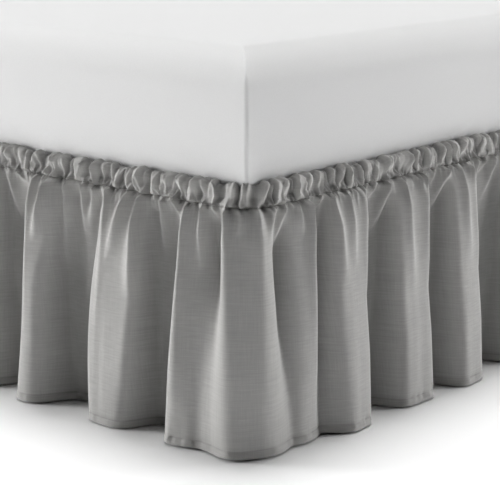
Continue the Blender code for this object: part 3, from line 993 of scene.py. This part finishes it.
def make_mattress(settings):
    """A mattress in a fitted sheet, with a soft top edge, slightly full sides and sharp upright corners."""
    bottom, top = MATTRESS_LOW.z, MATTRESS_HIGH.z
    half_x, half_y = MATTRESS_HIGH.x, MATTRESS_HIGH.y
    soft, low = settings.top_edge, settings.bottom_edge
    stations = outline_stations()
    section = [(FLAT_INSETS[1], bottom), (low, bottom)]
    section += [
        (low - low * math.sin(turn), bottom + low - low * math.cos(turn)) for turn in BOTTOM_EDGE_TURNS
    ]
    wall = top - soft - bottom - low
    section += [(0.0, bottom + low + wall * step / WALL_ROWS) for step in range(WALL_ROWS + 1)]
    for step in range(1, TOP_EDGE_ROWS + 1):
        turn = math.pi / 2 * step / TOP_EDGE_ROWS
        section.append((soft - soft * math.cos(turn), top - soft + soft * math.sin(turn)))
    section += [(soft + inset, top) for inset in FLAT_INSETS]

    def place(column, row):
        points = []
        for station, (inset, height) in zip((stations[i] for i in column), (section[i] for i in row)):
            corner = max(settings.corner - CORNER_TIGHTENING * inset, CORNER_LEAST * settings.corner)
            full = math.sin(math.pi * (height - bottom) / (top - bottom)) if inset <= low else 0.0
            x, y = outline_point(station, half_x - inset, half_y - inset, corner, MATTRESS_BULGE * full)
            points.append((x, y, height))
        return points

    bm = wrapped_grid(len(stations), len(section) - 1, place)
    for level in (bottom, top):
        rim = [edge for edge in bm.edges if edge.is_boundary and abs(edge.verts[0].co.z - level) < 1e-4]
        bmesh.ops.contextual_create(bm, geom=rim)
    bmesh.ops.recalc_face_normals(bm, faces=bm.faces)
    mattress = add_piece("sheeted_mattress", bm, make_percale_cotton(tuple(settings.colour)))
    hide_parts("mattress")
    return mattress


def dress_node(name, material):
    """Gives a CAD node that stays a better material."""
    piece = bpy.data.objects[name]
    piece.data.materials.clear()
    piece.data.materials.append(material)


# Stage


def add_light(name, place, aim, size, power, spread=math.pi):
    """A soft square light aimed at a point."""
    light = bpy.data.lights.new(name, "AREA")
    light.size = size
    light.energy = power
    light.spread = spread
    lamp = bpy.data.objects.new(name, light)
    lamp.location = place
    lamp.rotation_euler = (aim - place).to_track_quat("-Z", "Y").to_euler()
    bpy.context.scene.collection.objects.link(lamp)


def make_floor(settings):
    """A wide white floor."""
    bm = bmesh.new()
    bmesh.ops.create_grid(bm, x_segments=8, y_segments=8, size=FLOOR_REACH)
    mesh = bpy.data.meshes.new("floor")
    bm.to_mesh(mesh)
    bm.free()
    mesh.materials.append(make_white_paint(tuple(settings.floor), settings.floor_glow))
    floor = bpy.data.objects.new("floor", mesh)
    bpy.context.scene.collection.objects.link(floor)


def make_lights(settings):
    """A faint white surround, a raking softbox at either side and one overhead."""
    world = bpy.data.worlds.new("white surround")
    world.use_nodes = True
    background = world.node_tree.nodes["Background"]
    background.inputs["Color"].default_value = (1.0, 1.0, 1.0, 1.0)
    background.inputs["Strength"].default_value = settings.surround
    bpy.context.scene.world = world
    for name, turn, power in (
        ("left softbox", LEFT_LIGHT_TURN, settings.left_light),
        ("right softbox", RIGHT_LIGHT_TURN, settings.right_light),
    ):
        away = math.cos(turn) * TO_CAMERA - math.sin(turn) * TO_LEFT
        place = Vector((CORNER.x, CORNER.y, SIDE_LIGHT_HEIGHT)) + SIDE_LIGHT_DISTANCE * away
        add_light(name, place, CORNER, SIDE_LIGHT_SIZE, power)
    add_light(
        "top softbox", TOP_LIGHT_PLACE, TOP_LIGHT_AIM, TOP_LIGHT_SIZE, settings.top_light, TOP_LIGHT_SPREAD
    )


def make_camera(settings):
    """The camera, which looks at one corner of the bed from a little above."""
    scene = bpy.context.scene
    camera = bpy.data.cameras.new("camera")
    camera.sensor_width = 36.0
    camera.sensor_fit = "HORIZONTAL"
    camera.lens = settings.lens
    viewer = bpy.data.objects.new("camera", camera)
    viewer.location = CAMERA_PLACE
    viewer.rotation_euler = (math.pi / 2 - CAMERA_TILT, 0.0, CAMERA_TURN)
    scene.collection.objects.link(viewer)
    scene.camera = viewer
    scene.view_settings.view_transform = "Standard"


# Settings


class SkirtSettings(bpy.types.PropertyGroup):
    """The ruffle and its heading"""

    colour: bpy.props.FloatVectorProperty(
        name="Cloth", description="Colour of the ruffle and its heading", subtype="COLOR", size=4,
        min=0.0, max=1.0, default=linear("#A5A4A2"),
    )
    ruffle_columns: bpy.props.IntProperty(
        name="Ruffle columns", description="Columns of points across each panel of the ruffle",
        default=1250, min=200, max=2000,
    )
    heading_columns: bpy.props.IntProperty(
        name="Heading columns", description="Columns of points across each panel of the heading",
        default=1500, min=200, max=2000,
    )


class MattressSettings(bpy.types.PropertyGroup):
    """The sheeted mattress"""

    colour: bpy.props.FloatVectorProperty(
        name="Sheet", description="Colour of the fitted sheet", subtype="COLOR", size=4,
        min=0.0, max=1.0, default=linear("#D4D4D4"),
    )
    corner: bpy.props.FloatProperty(
        name="Corner", description="Radius of the upright corners", default=0.005,
        unit="LENGTH", min=0.004, max=0.1,
    )
    top_edge: bpy.props.FloatProperty(
        name="Top edge", description="Radius of the soft top edge", default=0.065,
        unit="LENGTH", min=0.01, max=0.09,
    )
    bottom_edge: bpy.props.FloatProperty(
        name="Bottom edge", description="Radius of the bottom edge", default=0.008,
        unit="LENGTH", min=0.002, max=0.02,
    )
    fill: bpy.props.FloatProperty(
        name="Fill", description="How tight the filling is, from slack to full", default=0.9,
        min=0.0, max=1.0,
    )


class BedSettings(bpy.types.PropertyGroup):
    """The bed base and its legs"""

    cover: bpy.props.FloatVectorProperty(
        name="Cover", description="Colour of the base's cover", subtype="COLOR", size=4,
        min=0.0, max=1.0, default=linear("#CFCDC8"),
    )
    wood: bpy.props.FloatVectorProperty(
        name="Wood", description="Colour of the stained legs", subtype="COLOR", size=4,
        min=0.0, max=1.0, default=linear("#765D4B"),
    )


class StageSettings(bpy.types.PropertyGroup):
    """The floor, the lights and the camera"""

    floor: bpy.props.FloatVectorProperty(
        name="Floor", description="Colour of the floor", subtype="COLOR", size=4,
        min=0.0, max=1.0, default=linear("#FAFAFA"),
    )
    surround: bpy.props.FloatProperty(
        name="Surround", description="Strength of the white surround", default=0.01, min=0.0, max=3.0,
    )
    left_light: bpy.props.FloatProperty(
        name="Left light", description="Power of the raking softbox at the left", default=490.0,
        unit="POWER", min=0.0, max=3000.0,
    )
    right_light: bpy.props.FloatProperty(
        name="Right light", description="Power of the raking softbox at the right", default=318.0,
        unit="POWER", min=0.0, max=3000.0,
    )
    top_light: bpy.props.FloatProperty(
        name="Top light", description="Power of the overhead softbox", default=76.0,
        unit="POWER", min=0.0, max=1000.0,
    )
    floor_glow: bpy.props.FloatProperty(
        name="Floor glow", description="Light that the floor gives off far from the bed", default=0.4,
        min=0.0, max=1.0,
    )
    lens: bpy.props.FloatProperty(
        name="Lens", description="Focal length in millimetres", default=122.35, min=20.0, max=300.0,
    )


# Operators


class OBJECT_OT_skirt_ruffle(bpy.types.Operator):
    """Makes the gathered ruffle"""

    bl_idname = "object.skirt_ruffle"
    bl_label = "Ruffle"

    def execute(self, context):
        for panel in make_ruffle(context.scene.skirt_settings):
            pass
        return {"FINISHED"}


class OBJECT_OT_skirt_heading(bpy.types.Operator):
    """Makes the shirred heading"""

    bl_idname = "object.skirt_heading"
    bl_label = "Heading"

    def execute(self, context):
        for panel in make_heading(context.scene.skirt_settings):
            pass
        return {"FINISHED"}


class OBJECT_OT_skirt_mattress(bpy.types.Operator):
    """Makes the sheeted mattress"""

    bl_idname = "object.skirt_mattress"
    bl_label = "Mattress"

    def execute(self, context):
        make_mattress(context.scene.mattress_settings)
        return {"FINISHED"}


class OBJECT_OT_skirt_bed(bpy.types.Operator):
    """Covers the bed base and stains its legs"""

    bl_idname = "object.skirt_bed"
    bl_label = "Base and legs"

    def execute(self, context):
        settings = context.scene.bed_settings
        dress_node("bed_base", make_woven_polyester(tuple(settings.cover)))
        wood = make_stained_beech(tuple(settings.wood))
        for number in range(1, 7):
            dress_node(f"leg_{number}", wood)
        return {"FINISHED"}


class OBJECT_OT_skirt_stage(bpy.types.Operator):
    """Sets up the floor, the lights and the camera"""

    bl_idname = "object.skirt_stage"
    bl_label = "Stage"

    def execute(self, context):
        settings = context.scene.stage_settings
        make_floor(settings)
        make_lights(settings)
        make_camera(settings)
        return {"FINISHED"}


class VIEW3D_PT_skirt(bpy.types.Panel):
    """Lists the pieces of the bed skirt"""

    bl_idname = "VIEW3D_PT_skirt"
    bl_label = "Bed Skirt"
    bl_space_type = "VIEW_3D"
    bl_region_type = "UI"
    bl_category = "Bed Skirt"

    def draw(self, context):
        for name, _, operators in STEPS:
            box = self.layout.box()
            settings = getattr(context.scene, name)
            for size in settings.__annotations__:
                box.prop(settings, size)
            for operator in operators:
                box.operator(operator.bl_idname)


STEPS = (
    ("stage_settings", StageSettings, (OBJECT_OT_skirt_stage,)),
    ("skirt_settings", SkirtSettings, (OBJECT_OT_skirt_ruffle, OBJECT_OT_skirt_heading)),
    ("mattress_settings", MattressSettings, (OBJECT_OT_skirt_mattress,)),
    ("bed_settings", BedSettings, (OBJECT_OT_skirt_bed,)),
)
GROUPS = {name: group for name, group, _ in STEPS}
OPERATORS = [operator for _, _, operators in STEPS for operator in operators]
CLASSES = (*GROUPS.values(), *OPERATORS, VIEW3D_PT_skirt)


def register():
    for kind in CLASSES:
        bpy.utils.register_class(kind)
    for name, group in GROUPS.items():
        setattr(bpy.types.Scene, name, bpy.props.PointerProperty(type=group))


def unregister():
    for name in GROUPS:
        delattr(bpy.types.Scene, name)
    for kind in reversed(CLASSES):
        bpy.utils.unregister_class(kind)


def main():
    register()
    bpy.ops.object.skirt_stage()
    bpy.ops.object.skirt_ruffle()
    bpy.ops.object.skirt_heading()
    bpy.ops.object.skirt_mattress()
    bpy.ops.object.skirt_bed()


if __name__ == "__main__":
    main()
